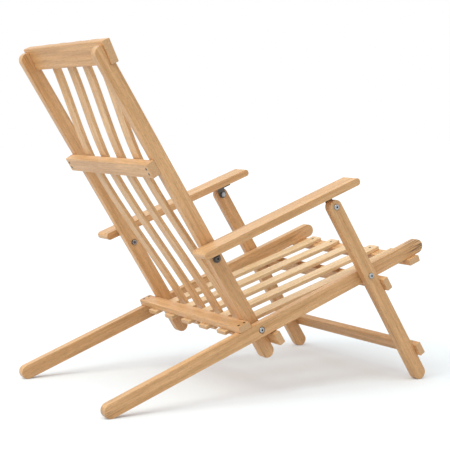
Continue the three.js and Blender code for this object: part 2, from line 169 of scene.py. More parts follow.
class TimberSettings(bpy.types.PropertyGroup):
    """Edges, grain and colours of the hardwood"""

    edge_radius: millimetres("Edge radius", "Rounding of the thick timbers' edges", 1.2)
    bar_corner_radius: millimetres("Bar corner radius", "Rounding of the cross bars' long edges", 2.5)
    slat_edge_radius: millimetres("Slat edge radius", "Softening of the slats' eased edges", 0.4)
    arm_end_radius: millimetres("Armrest end radius", "Rounding of the armrests' ends, from the side", 9.5)
    arm_edge_radius: millimetres("Armrest edge radius", "Rounding of the armrests' crisper edges", 0.9)
    notch_gap: millimetres("Notch gap", "Gap between the top rail and the stiles' notches", 0.3)
    slat_thickness: millimetres("Slat thickness", "Thickness that the slats' screws go through", 10)
    light_wood: colour_hex("Light wood", "the pale wood between the figure", "#EFBC86")
    dark_wood: colour_hex("Dark wood", "the wood in the figure", "#DAA56D")
    light_slat: colour_hex("Light seat slat", "the seat slats' paler wood between the figure", "#F8D2A2")
    dark_slat: colour_hex("Dark seat slat", "the figure in the seat slats", "#E6BC8A")
    light_back_slat: colour_hex("Light back slat", "the back slats' wood between the figure", "#F2C48F")
    dark_back_slat: colour_hex("Dark back slat", "the figure in the back slats", "#DEAC77")
    light_top_rail: colour_hex("Light top rail", "the top rail's more golden plank", "#E8B175")
    dark_top_rail: colour_hex("Dark top rail", "the figure in the top rail", "#D3995D")
    end_wood: colour_hex("End grain", "the sawn ends, which are a little greyer", "#E0B282")
    streak_wood: colour_hex("Streaks", "the rare dark streaks along the grain", "#A0703F")
    timber_streaks: fraction("Timber streaks", "Strength of the dark streaks in the thick timbers", 0.7)
    slat_streaks: fraction("Slat streaks", "Strength of the dark streaks in the slats", 0.15)
    check_wood: colour_hex("Checks", "the dark drying checks in a rail's ends", "#5E3E22")
    check_length: millimetres("Check length", "How far the drying checks run in from a rail's ends", 75)
    check_spacing: millimetres("Check spacing", "Spacing of the drying checks across the grain", 4.8)
    check_wander: millimetres("Check wander", "Length over which a drying check changes its course", 180)
    figure_width: millimetres("Figure width", "Width of the broad figure across the grain", 12)
    figure_length: millimetres("Figure length", "Length of the broad figure along the grain", 300)
    streak_width: millimetres("Streak width", "Width of the narrow streaks across the grain", 3)
    streak_length: millimetres("Streak length", "Length of the narrow streaks along the grain", 130)
    patch_width: millimetres("Patch width", "Width of the patches in which streaks are dark", 26.4)
    patch_length: millimetres("Patch length", "Length of the patches in which streaks are dark", 260)
    fibre_width: millimetres("Fibre width", "Width of the fibres, coarser than real ones to show", 1.2)
    fibre_length: millimetres("Fibre length", "Length of the fibres along the grain", 22)
    fibre_height: millimetres("Fibre height", "Height of the raised fibres", 0.3)
    pore_width: millimetres("Pore width", "Width of the pores, coarser than real ones to show", 0.96)
    pore_length: millimetres("Pore length", "Length of the pores along the grain", 7)
    roughness: fraction("Roughness", "Roughness of the sanded wood", 0.42)
    sheen: fraction("Sheen", "Pale sheen of the raised fibres of bare wood, seen along a face", 0.12)


class SteelSettings(bpy.types.PropertyGroup):
    """Sizes and finishes of the metal fittings"""

    shank_radius: millimetres("Bolt radius", "Radius of the bolts' shanks", 4)
    bolt_fit: millimetres("Bolt clearance", "Gap round a bolt in its hole", 0.3)
    recess_radius: millimetres("Counterbore radius", "Radius of the counterbores", 9.5)
    recess_depth: millimetres("Counterbore depth", "Depth of those that a head or a nut stands out of", 3)
    insert_radius: millimetres("Insert radius", "Radius of the leg pivots' inserts in the rails", 6)
    insert_length: millimetres("Insert length", "Length of the leg pivots' inserts", 14)
    head_radius: millimetres("Head radius", "Radius of the bolts' button heads", 8)
    head_height: millimetres("Head height", "Height of the bolts' heads", 4.5)
    crown: millimetres("Crown", "Rounding of the bolt heads' rims", 3.4)
    socket_radius: millimetres("Socket radius", "Corner radius of the hexagon sockets", 2.9)
    socket_depth: millimetres("Socket depth", "Depth of the hexagon sockets", 2.6)
    nut_edge_radius: millimetres("Nut edge radius", "Rounding of the nuts' edges", 0.5)
    ring_edge_radius: millimetres("Ring edge radius", "Rounding of the round fittings' edges", 0.3)
    bracket_thickness: millimetres("Bracket thickness", "Thickness of the brackets' flat steel", 2.5)
    bracket_corner_radius: millimetres("Bracket corner radius", "Radius of the plates' corners", 3)
    bracket_tab_radius: millimetres("Bracket tab radius", "Radius of the brackets' round tabs", 11)
    pan_screw_spread: millimetres("Pan screw spread", "Distance between a bracket's two screws", 24)
    pan_head_height: millimetres("Pan head height", "Height of the brackets' screw heads", 2.4)
    pan_head_crown: millimetres("Pan head crown", "Rounding of the brackets' screw heads", 1.6)
    screw_radius: millimetres("Screw head radius", "Radius of the screws' heads", 3.8)
    screw_head_depth: millimetres("Screw head depth", "Depth of the countersunk heads", 2.2)
    screw_length: millimetres("Screw length", "Length of the wood screws under their heads", 16)
    sink_depth: millimetres("Countersink depth", "Depth of the countersinks", 2.5)
    screw_spread: millimetres("Screw spread", "Distance between the two screws of a joint", 18)
    mid_rail_screw_spread: millimetres("Mid rail screw spread", "The same at each end of the mid rail", 15)
    steel: colour_hex("Steel", "the stainless steel", "#A6A8AA")
    roughness: fraction("Roughness", "Roughness of the stainless steel", 0.3)
    # Painted shade in part: this darker plate also stands on the bolts at the stiles, in place of the
    # armrests' shade
    zinc: colour_hex("Zinc", "the dull zinc plate on the brackets and wood screws", "#5F5A56")
    zinc_roughness: fraction("Zinc roughness", "Roughness of the dull zinc plate", 0.42)
    scratch_spacing: millimetres("Scratch spacing", "Spacing of scratches, coarser than real ones", 1.11)
    # Painted shade: the dark colour that the fittings' sockets and hollows are painted, and how far from a
    # wall it reaches
    grease: colour_hex("Grease", "the old grease in the sockets", "#2E2A27")
    socket_shade_reach: millimetres("Grease reach", "How near to a wall old grease can lie", 4)


class StudioSettings(bpy.types.PropertyGroup):
    """Camera, floor and lamps"""

    azimuth: degrees("Azimuth", "Camera's turn about the chair, from its front", 239.195)
    elevation: degrees("Elevation", "Camera's height as an angle", 5.212)
    distance: millimetres("Distance", "Camera to its target", 3520.9)
    target: bpy.props.FloatVectorProperty(
        name="Target", description="Point at the middle of the picture", default=(0.0533, -0.0464, 0.4206),
        size=3, subtype="TRANSLATION",
    )
    focal_length: amount("Focal length", "Lens on a 36 mm sensor, in mm", 99.93)
    key_from: bpy.props.FloatVectorProperty(
        name="Key lamp from", description="Direction of the key lamp, behind and above the chair",
        default=(-0.2, 0.6, 1.25), size=3, subtype="DIRECTION",
    )
    key_strength: amount("Key lamp", "Strength of the key lamp", 1.18)
    key_spread: degrees("Key spread", "Angle that the key lamp's soft box fills", 50)
    key_colour: colour_hex("Key colour", "the key lamp's cool light", "#EFFFF7")
    rear_from: bpy.props.FloatVectorProperty(
        name="Rear lamp from", description="Direction of the low lamp that lights the back's rear",
        default=(0.0, 1.0, 0.6), size=3, subtype="DIRECTION",
    )
    rear_strength: amount("Rear lamp", "Strength of the rear lamp", 0.8)
    rear_spread: degrees("Rear spread", "Angle that the rear lamp's soft box fills", 40)
    rear_colour: colour_hex("Rear colour", "the rear lamp's white light", "#FFFFFF")
    ambient: amount("Ambient", "Strength of the studio's white walls on the chair", 0.76)
    walls: colour_hex("Walls", "the studio's white walls", "#FFFFFF")
    floor_size: millimetres("Floor size", "Side of the floor, which reaches past the picture", 40000)
    floor_bounce: fraction("Floor bounce", "Share of its light that the floor throws at the chair", 0.6)
    floor_lift: amount("Floor lift", "Light that is seen in the floor beside what falls on it", 0.06)
    paper: colour_hex("Paper", "the floor's paper, as it is seen", "#EFF1F5")
    paper_glow: colour_hex("Paper glow", "the light that lifts the paper to white", "#F6FAFF")


def reach(node, turn=0.0):
    """A piece's lowest and highest corners, in axes turned about X."""
    back = Matrix.Rotation(-turn, 3, "X")
    places = [back @ vertex.co for vertex in frame["nodes"][node].data.vertices]
    return tuple(
        Vector([limit(place[axis] for place in places) for axis in range(3)]) for limit in (min, max)
    )


def focus(piece):
    """Selects one piece alone and makes it active."""
    bpy.ops.object.select_all(action="DESELECT")
    piece.select_set(True)
    bpy.context.view_layer.objects.active = piece


def settle(piece, place=None):
    """Puts a piece at a place and moves that place into its mesh."""
    if place:
        piece.matrix_world = place @ piece.matrix_world
    focus(piece)
    bpy.ops.object.transform_apply(location=True, rotation=True, scale=True)


def modify(piece, kind, **settings):
    """Adds a modifier with its settings and applies it."""
    modifier = piece.modifiers.new(kind.lower(), kind)
    for name, value in settings.items():
        setattr(modifier, name, value)
    focus(piece)
    bpy.ops.object.modifier_apply(modifier=modifier.name)


def pick(piece, kind, chosen):
    """Opens a piece in edit mode with only those edges or faces selected that pass a test.

    The test gets the middle of an edge or a face, and an edge's direction or a face's normal.
    """
    focus(piece)
    bpy.ops.object.mode_set(mode="EDIT")
    bpy.ops.mesh.select_mode(type=kind)
    bpy.ops.mesh.select_all(action="DESELECT")
    shape = bmesh.from_edit_mesh(piece.data)
    if kind == "FACE":
        for face in shape.faces:
            face.select_set(chosen(face.calc_center_median(), face.normal))
    else:
        for edge in shape.edges:
            start, end = (vertex.co for vertex in edge.verts)
            edge.select_set(chosen((start + end) / 2, (end - start).normalized()))
    bmesh.update_edit_mesh(piece.data)


def close_edit():
    bpy.ops.object.mode_set(mode="OBJECT")


def add_shape(primitive_add, **sizes):
    """Adds a primitive and moves its place into its mesh."""
    bpy.ops.object.select_all(action="DESELECT")
    primitive_add(**sizes)
    piece = bpy.context.object
    settle(piece)
    return piece


def add_block(low, high):
    """Adds a block between two corners."""
    return add_shape(
        bpy.ops.mesh.primitive_cube_add, size=1, location=(low + high) / 2, scale=high - low
    )


def add_rod(radius, start, end, middle=(0, 0), sides=ROUND_STEPS):
    """Adds a round or many-sided rod along X, from one place to another."""
    return add_shape(
        bpy.ops.mesh.primitive_cylinder_add, vertices=sides, radius=radius, depth=abs(end - start),
        rotation=(0, math.pi / 2, 0), location=((start + end) / 2, *middle),
    )


def cut(piece, cutters, operation="DIFFERENCE"):
    """Cuts pieces out of another, or joins them to it, and uses them up."""
    for cutter in cutters:
        modify(piece, "BOOLEAN", operation=operation, solver="EXACT", object=cutter)
        bpy.data.objects.remove(cutter)


def bevel_edges(piece, chosen, radius, segments):
    """Rounds the edges that pass a test."""
    pick(piece, "EDGE", chosen)
    bpy.ops.mesh.bevel(offset=radius, segments=segments, affect="EDGES")
    close_edit()


def round_edges(piece, axis, radius, segments):
    """Rounds the edges that run along an axis."""
    bevel_edges(piece, lambda middle, way: abs(way[axis]) > ALIGNED, radius, segments)


def round_rim(head, halfway, radius, segments):
    """Rounds the rim of a head along X, on the side past a place halfway up it."""
    bevel_edges(
        head, lambda middle, way: middle.x > halfway and abs(way.x) < CROSSWISE, radius, segments
    )


def ease_edges(piece, radius, segments=3, sharper_than=40):
    """Rounds every edge that turns more than an angle in degrees."""
    modify(
        piece, "BEVEL", width=radius, segments=segments, limit_method="ANGLE",
        angle_limit=math.radians(sharper_than),
    )


def copy_at(master, name, place):
    """A copy of a piece, with a mesh of its own, at a place."""
    focus(master)
    bpy.ops.object.duplicate(linked=False)
    piece = bpy.context.object
    piece.name = piece.data.name = name
    settle(piece, place)
    return piece


def finish_piece(piece, body, material, nodes=()):
    """Smooths a piece, gives it its material, and lets it ride on its body in place of its nodes."""
    focus(piece)
    bpy.ops.object.shade_smooth_by_angle(angle=SMOOTH_ANGLE)
    modify(piece, "WEIGHTED_NORMAL", keep_sharp=True)
    piece.data.materials.clear()
    piece.data.materials.append(material)
    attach(piece, body)
    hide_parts(*nodes)


def board_name(node):
    return node + "_board"


def add_board(node, edge_radius, segments, corner_radius=None):
    """Adds a board with rounded corners, seen from the side, and eased edges, and lays it at its slope.

    Without a radius for its corners, the board has round ends.
    """
    turn = BOARDS[node][0]
    low, high = reach(node, turn)
    piece = add_block(low, high)
    piece.name = piece.data.name = board_name(node)
    round_edges(piece, ACROSS, corner_radius or ROUND_END_SHARE * (high.z - low.z) / 2, segments)
    ease_edges(piece, edge_radius)
    settle(piece, Matrix.Rotation(turn, 4, "X"))
    return piece


def linear(hex_colour):
    """An sRGB hex colour as linear RGBA."""
    channels = [int(hex_colour[i : i + 2], 16) / 255 for i in (1, 3, 5)]
    return [c / 12.92 if c <= 0.04045 else ((c + 0.055) / 1.055) ** 2.4 for c in channels] + [1.0]


def add_node(tree, kind, settings=None, links=None):
    """Adds a shader node of a kind with its settings and links, both by name, and returns it.

    A setting names a property of the node, or an input by its index or name. A link gives the
    output socket that feeds an input, or the node whose first output does.
    """
    node = tree.nodes.new("ShaderNode" + kind)
    for name, value in (settings or {}).items():
        if isinstance(name, int) or name in node.inputs:
            node.inputs[name].default_value = value
        else:
            setattr(node, name, value)
    for name, source in (links or {}).items():
        socket = source.outputs[0] if isinstance(source, bpy.types.Node) else source
        tree.links.new(socket, node.inputs[name])
    return node


def new_material(name):
    """A material without nodes, and its node tree."""
    material = bpy.data.materials.new(name)
    material.use_nodes = True
    material.node_tree.nodes.clear()
    return material, material.node_tree


def set_ramp(node, *stops):
    """Sets the stops of a colour ramp, each a position and a colour."""
    for element, (position, colour) in zip(node.color_ramp.elements, stops):
        element.position = position
        element.color = colour


def grey(value):
    return (value, value, value, 1.0)


def hardwood(name, turn, grain_axis, seed, tones, streaks, checked):
    """Pale tropical hardwood, planed and sanded, left bare: straight figure in soft bands, short
    fibres that catch the light a little, and greyer end grain.

    A board with `checked`, its lowest and highest corners, has drying checks in its ends.
    """
    look = bpy.context.scene.deck_chair_timber
    material, tree = new_material(name)
    place = add_node(tree, "TexCoord")
    # Each board is cut from its own plank, so the seed slides the pattern
    slide = PLANK_STEP * seed
    board = add_node(
        tree, "Mapping", {"Rotation": (-turn, 0, 0), "Location": slide},
        {"Vector": place.outputs["Object"]},
    )

    def grain(width, length, detail=2.0, roughness=0.5, distortion=0.0):
        """Noise that is `width` across and `length` along the grain."""
        size = [width, width, width]
        size[grain_axis] = length
        stretched = add_node(tree, "Mapping", {"Scale": [1 / s for s in size]}, {"Vector": board})
        return add_node(
            tree, "TexNoise",
            {"Scale": 1.0, "Detail": detail, "Roughness": roughness, "Distortion": distortion},
            {"Vector": stretched},
        )

    figure = grain(look.figure_width, look.figure_length, detail=3.0, roughness=0.55, distortion=0.25)
    lines = grain(look.streak_width, look.streak_length, detail=3.0, roughness=0.6, distortion=0.1)
    fibres = grain(look.fibre_width, look.fibre_length, roughness=0.55)
    pores = grain(look.pore_width, look.pore_length, detail=1.0)
    patches = grain(look.patch_width, look.patch_length, distortion=0.3)

    bands = add_node(tree, "ValToRGB", links={"Fac": figure})
    light, dark = tones
    set_ramp(bands, (0.36, linear(light)), (0.66, linear(dark)))
    # End grain, where the surface faces straight along the grain
    facing = add_node(
        tree, "Mapping", {"vector_type": "NORMAL", "Rotation": (-turn, 0, 0)},
        {"Vector": place.outputs["Normal"]},
    )
    parts = add_node(tree, "SeparateXYZ", links={0: facing})
    squareness = add_node(tree, "Math", {"operation": "ABSOLUTE"}, {0: parts.outputs[grain_axis]})
    sawn = add_node(tree, "MapRange", {"From Min": 0.90, "From Max": 0.99}, {"Value": squareness})
    colour = add_node(
        tree, "Mix", {"data_type": "RGBA", 7: linear(look.end_wood)}, {0: sawn, 6: bands}
    ).outputs[2]
    # Finer marks darken the wood: the noise where they are dark and clear, both greys, and their share
    for marks, dark_at, clear_at, dark_grey, clear_grey, mark_share in (
        (lines, 0.38, 0.58, 0.82, 1.0, 0.8),
        (fibres, 0.34, 0.60, 0.82, 1.02, 1.0),
        (pores, 0.30, 0.40, 0.62, 1.0, 0.8),
    ):
        ramp = add_node(tree, "ValToRGB", links={"Fac": marks})
        set_ramp(ramp, (dark_at, grey(dark_grey)), (clear_at, grey(clear_grey)))
        colour = add_node(
            tree, "Mix", {"data_type": "RGBA", "blend_type": "MULTIPLY", 0: mark_share},
            {6: colour, 7: ramp},
        ).outputs[2]
    # Rare dark streaks, where a broad patch and a narrow line fall together
    broad = add_node(tree, "MapRange", {"From Min": 0.56, "From Max": 0.68}, {"Value": patches})
    narrow = add_node(
        tree, "MapRange", {"From Min": 0.50, "From Max": 0.62, "To Max": streaks}, {"Value": lines}
    )
    rare = add_node(tree, "Math", {"operation": "MULTIPLY"}, {0: broad, 1: narrow})
    colour = add_node(
        tree, "Mix", {"data_type": "RGBA", 7: linear(look.streak_wood)}, {0: rare, 6: colour}
    ).outputs[2]
    if checked:
        # Drying checks: thin dark lines that run in from the ends, most of them from the front one
        along = add_node(tree, "SeparateXYZ", links={0: board}).outputs[grain_axis]
        near_ends = []
        for corner, inwards, strength in zip(checked, (1, -1), CHECK_STRENGTHS):
            tip = corner[grain_axis] + slide[grain_axis]
            fading = {
                "From Min": tip, "From Max": tip + inwards * look.check_length,
                "To Min": strength, "To Max": 0.0,
            }
            near_ends.append(add_node(tree, "MapRange", fading, {"Value": along}))
        near_end = add_node(tree, "Math", {"operation": "MAXIMUM"}, dict(enumerate(near_ends)))
        # A check is a thin line where the noise lies about one half
        splits = grain(look.check_spacing, look.check_wander, detail=1.0)
        rising = add_node(tree, "MapRange", {"From Min": 0.45, "From Max": 0.49}, {"Value": splits})
        falling = add_node(tree, "MapRange", {"From Min": 0.55, "From Max": 0.51}, {"Value": splits})
        line = add_node(tree, "Math", {"operation": "MULTIPLY"}, {0: rising, 1: falling})
        # The round end itself is darkened too, where its surface turns along the grain, more at the front
        # end
        darkened_end = add_node(
            tree, "MapRange", {"From Min": 0.5, "From Max": 0.85, "To Max": 0.45}, {"Value": squareness}
        )
        marks = add_node(tree, "Math", {"operation": "MAXIMUM"}, {0: line, 1: darkened_end})
        check = add_node(tree, "Math", {"operation": "MULTIPLY"}, {0: marks, 1: near_end})
        colour = add_node(
            tree, "Mix", {"data_type": "RGBA", 7: linear(look.check_wood)}, {0: check, 6: colour}
        ).outputs[2]
    bump = add_node(tree, "Bump", {"Strength": 0.25, "Distance": look.fibre_height}, {"Height": fibres})
    surface = add_node(
        tree, "BsdfPrincipled",
        {"Roughness": look.roughness, "IOR": 1.5, "Sheen Weight": look.sheen, "Sheen Roughness": 0.4},
        {"Base Color": colour, "Normal": bump},
    )
    add_node(tree, "OutputMaterial", links={"Surface": surface})
    return material


def metal(name, colour, roughness):
    """Metal with fine scratches, which make its reflection uneven, and painted shade in its own hollows. It
    is made once.
    """
    if name in bpy.data.materials:
        return bpy.data.materials[name]
    look = bpy.context.scene.deck_chair_steel
    material, tree = new_material(name)
    place = add_node(tree, "TexCoord")
    # The scratches are coarser than real ones, so that they show
    scratches = add_node(
        tree, "TexNoise", {"Scale": 1 / look.scratch_spacing, "Detail": 2.0},
        {"Vector": place.outputs["Object"]},
    )
    rough = add_node(
        tree, "MapRange", {"To Min": roughness - SMOOTHER_BY, "To Max": roughness + ROUGHER_BY},
        {"Value": scratches},
    )
    # Painted shade: ambient occlusion within the fitting darkens its sockets and hollows, so they look dark
    # in the bright heads
    open_sky = add_node(
        tree, "AmbientOcclusion", {"only_local": True, "samples": 8, "Distance": look.socket_shade_reach}
    )
    unshaded = add_node(
        tree, "MapRange", {"From Min": 0.5, "From Max": 0.85}, {"Value": open_sky.outputs["AO"]}
    )
    shaded_colour = add_node(
        tree, "Mix", {"data_type": "RGBA", 6: linear(look.grease), 7: linear(colour)}, {0: unshaded}
    )
    surface = add_node(
        tree, "BsdfPrincipled", {"Metallic": 1.0}, {"Base Color": shaded_colour.outputs[2], "Roughness": rough}
    )
    add_node(tree, "OutputMaterial", links={"Surface": surface})
    return material


def stainless():
    """Brushed stainless steel of the bolts and their nuts, washers, spacers and inserts, and of the
    pan screws: small bright rings round sockets that painted shade darkens."""
    look = bpy.context.scene.deck_chair_steel
    return metal("brushed_stainless_steel", look.steel, look.roughness)


def zinc_plate():
    """Dull zinc plate of the brackets, of their bolts at the stiles and of the wood screws: darker and
    softer than the steel. On the bolts at the stiles the darker plate is also painted shade from the
    armrests."""
    look = bpy.context.scene.deck_chair_steel
    return metal("dull_zinc_plate", look.zinc, look.zinc_roughness)


class DECKCHAIR_OT_add_members(bpy.types.Operator):
    """Adds the rails, stiles and legs: straight timbers with round ends, drilled for the pivots"""

    bl_idname = "deckchair.add_members"
    bl_label = "Add the rails, stiles and legs"

    def execute(self, context):
        timber = context.scene.deck_chair_timber
        drillings = {
            "seat_rail": ((BACK_PIVOT, ("hole", "head recess")), (LEG_PIVOT, ("insert bore",))),
            "back_stile": ((BACK_PIVOT, ("hole", "nut recess")), (REAR_ARM_PIVOT, ("hole", "nut recess"))),
            "leg": ((LEG_PIVOT, ("hole",)), (FRONT_ARM_PIVOT, ("hole",))),
        }
        for family, places in drillings.items():
            for hand in HANDS:
                node = f"{family}_{hand}"
                piece = add_board(node, timber.edge_radius, segments=14)
                for pivot, bores in places:
                    self.drill(piece, node, pivot, bores)
                if family == "back_stile":
                    self.notch(piece, timber.notch_gap)
        return {"FINISHED"}

    def drill(self, piece, node, pivot, bores):
        """Drills a member from its inner face, which is nearer to the chair's middle, or its outer one."""
        steel = bpy.context.scene.deck_chair_steel
        faces = sorted((corner.x for corner in reach(node)), key=abs)
        side = math.copysign(1, faces[0])
        inner, outer = faces
        inside = inner - side * OVERRUN
        outside = outer + side * OVERRUN
        insert_end = outer - side * (steel.insert_length + 2 * steel.bolt_fit)
        kinds = {
            "hole": (steel.shank_radius + steel.bolt_fit, inside, outside),
            "nut recess": (steel.recess_radius, inside, inner + side * steel.recess_depth),
            "head recess": (steel.recess_radius, outer - side * steel.recess_depth, outside),
            "insert bore": (steel.insert_radius + steel.bolt_fit, insert_end, outside),
        }
        cut(piece, [add_rod(*kinds[bore], (pivot.y, pivot.z)) for bore in bores])

    def notch(self, piece, gap):
        """Cuts away a stile where the top rail lies, open at the front and the top."""
        low, high = reach("top_rail", TOP_RAIL_TURN)
        low -= Vector((gap, gap, gap))
        high += Vector((gap, NOTCH_OVERRUN, NOTCH_OVERRUN))
        cutter = add_block(low, high)
        settle(cutter, Matrix.Rotation(TOP_RAIL_TURN, 4, "X"))
        cut(piece, [cutter])


class DECKCHAIR_OT_add_bars(bpy.types.Operator):
    """Adds the cross bars and the top rail, with rounded corners"""

    bl_idname = "deckchair.add_bars"
    bl_label = "Add the bars"

    def execute(self, context):
        timber = context.scene.deck_chair_timber
        for node in BARS:
            add_board(node, timber.edge_radius, segments=5, corner_radius=timber.bar_corner_radius)
        return {"FINISHED"}


class DECKCHAIR_OT_add_armrests(bpy.types.Operator):
    """Adds the armrests, with rounded ends and eased edges"""

    bl_idname = "deckchair.add_armrests"
    bl_label = "Add the armrests"

    def execute(self, context):
        timber = context.scene.deck_chair_timber
        for hand in HANDS:
            add_board(
                "armrest_" + hand, timber.arm_edge_radius, segments=10, corner_radius=timber.arm_end_radius
            )
        return {"FINISHED"}


class DECKCHAIR_OT_add_slats(bpy.types.Operator):
    """Adds the seat slats and the sprung back slats, with softened edges"""

    bl_idname = "deckchair.add_slats"
    bl_label = "Add the slats"

    def execute(self, context):
        timber = context.scene.deck_chair_timber
        for node in (*SEAT_SLATS, *BACK_SLATS):
            mesh = frame["nodes"][node].data.copy()
            mesh.materials.clear()
            piece = bpy.data.objects.new(board_name(node), mesh)
            context.collection.objects.link(piece)
            pick(piece, "FACE", lambda middle, way: True)
            bpy.ops.mesh.remove_doubles(threshold=MERGE_DISTANCE)
            bpy.ops.mesh.select_all(action="SELECT")
            bpy.ops.mesh.dissolve_limited(angle_limit=FLAT_ANGLE)
            close_edit()
            ease_edges(piece, timber.slat_edge_radius, segments=2, sharper_than=30)
        return {"FINISHED"}


class DECKCHAIR_OT_drive_screws(bpy.types.Operator):
    """Countersinks the boards and drives the screws that hold the bars and slats"""

    bl_idname = "deckchair.drive_screws"
    bl_label = "Drive the screws"

    def execute(self, context):
        timber = context.scene.deck_chair_timber
        steel = context.scene.deck_chair_steel
        self.screw = self.add_screw(steel)
        # The cutter for the countersinks reaches past the face that it cuts
        self.sink = self.add_cone(
            steel.screw_radius + steel.bolt_fit, steel.screw_radius / 2, steel.sink_depth, OVERRUN
        )
        # The screws of the frame: their slope, the side that their heads face, the board they sink into,
        # and the places of one screw or of a pair
        apart = steel.mid_rail_screw_spread / 2
        for family, turn, facing, bar, spots in (
            ("rear_bar_screw", RAIL_TURN, 1, "rear_seat_bar", (0,)),
            ("seat_slat_screw", RAIL_TURN, 1, None, (0,)),
            ("mid_rail_screw", STILE_TURN, -1, "mid_rail", (-apart, apart)),
        ):
            for node in sorted(n for n in frame["nodes"] if n.startswith(family)):
                low, high = reach(node, turn)
                middle = (low + high) / 2
                face = high.z if facing > 0 else low.z
                for number, spot in enumerate(spots):
                    self.drive(
                        f"{node}_steel_{number + 1}", bar, turn, (middle.x, middle.y + spot, face), facing,
                        BODY_OF[node], () if number else (node,),
                    )
        # The other screws, where a bar crosses members, or where slats cross it
        rails, stiles, legs = (
            [family + hand for hand in HANDS] for family in ("seat_rail_", "back_stile_", "leg_")
        )
        pair = (-steel.screw_spread / 2, steel.screw_spread / 2)
        through_slat = timber.notch_gap + timber.slat_thickness
        for bar, crossed, facing, spots, above in (
            ("front_seat_bar", rails, -1, pair, 0),
            ("lower_back_bar", stiles, 1, pair, 0),
            ("upper_leg_bar", legs, 1, pair, 0),
            ("lower_leg_bar", legs, 1, pair, 0),
            ("top_rail", stiles, 1, pair, 0),
            ("rear_seat_bar", SEAT_SLATS, -1, (0,), through_slat),
            ("lower_back_bar", BACK_SLATS, -1, (0,), through_slat),
            ("top_rail", BACK_SLATS, 1, (0,), through_slat),
        ):
            turn = BOARDS[bar][0]
            low, high = reach(bar, turn)
            face = high.z + above if facing > 0 else low.z - above
            for member in crossed:
                across = sum(corner.x for corner in reach(member)) / 2
                for number, spot in enumerate(spots, 1):
                    name = f"{bar}_{member}_screw_{number}"
                    place = (across, (low.y + high.y) / 2 + spot, face)
                    self.drive(name, member if above else bar, turn, place, facing, BODY_OF[bar])
        for master in (self.screw, self.sink):
            bpy.data.objects.remove(master)
        return {"FINISHED"}

    def add_cone(self, radius, end_radius, depth, drawn):
        """A cone down Z from its wide end at Z zero, cut off short of its tip.

        Its wide end is drawn out upwards, or the other one downwards where `drawn` is below zero.
        """
        cone = add_shape(
            bpy.ops.mesh.primitive_cone_add, vertices=SCREW_STEPS, radius1=end_radius, radius2=radius,
            depth=depth, location=(0, 0, -depth / 2),
        )
        facing = math.copysign(1, drawn)
        pick(cone, "FACE", lambda middle, way: way.z * facing > ALIGNED)
        bpy.ops.mesh.extrude_region_move(TRANSFORM_OT_translate={"value": (0, 0, drawn)})
        close_edit()
        return cone

    def add_screw(self, steel):
        """A countersunk screw that points down Z, with the cross recess for its driver."""
        radius, depth = steel.screw_radius, steel.screw_head_depth
        screw = self.add_cone(radius, radius / 2, depth, -steel.screw_length)
        long, wide = (share * radius for share in CROSS_SHARES)
        for x, y in ((long, wide), (wide, long)):
            cut(screw, [add_block(Vector((-x, -y, -depth / 2)), Vector((x, y, OVERRUN)))])
        return screw

    def drive(self, name, board, turn, place, facing, body, nodes=()):
        """Countersinks a board, where one is given, and puts a screw in at a place of its slope."""
        at = Matrix.Rotation(turn, 4, "X") @ Matrix.Translation(place)
        if facing < 0:
            at = at @ Matrix.Rotation(math.pi, 4, "X")
        if board:
            cut(bpy.data.objects[board_name(board)], [copy_at(self.sink, "countersink", at)])
        screw = copy_at(self.screw, name, at)
        finish_piece(screw, body, zinc_plate(), nodes)


class DECKCHAIR_OT_finish_timber(bpy.types.Operator):
    """Gives every board its own cut of hardwood"""

    bl_idname = "deckchair.finish_timber"
    bl_label = "Finish the timber"

    def execute(self, context):
        look = context.scene.deck_chair_timber
        tones = {node: (look.light_slat, look.dark_slat) for node in SEAT_SLATS}
        tones.update({node: (look.light_back_slat, look.dark_back_slat) for node in BACK_SLATS})
        tones["top_rail"] = (look.light_top_rail, look.dark_top_rail)
        for seed, (node, (turn, grain_axis)) in enumerate(BOARDS.items()):
            slat = node in SEAT_SLATS + BACK_SLATS
            wood = hardwood(
                "sanded_hardwood_" + node, turn, grain_axis, seed,
                tones.get(node, (look.light_wood, look.dark_wood)),
                look.slat_streaks if slat else look.timber_streaks,
                reach(node, turn) if node == "seat_rail_right" else None,
            )
            piece = bpy.data.objects[board_name(node)]
            finish_piece(piece, BODY_OF[node], wood, (node,))
        return {"FINISHED"}


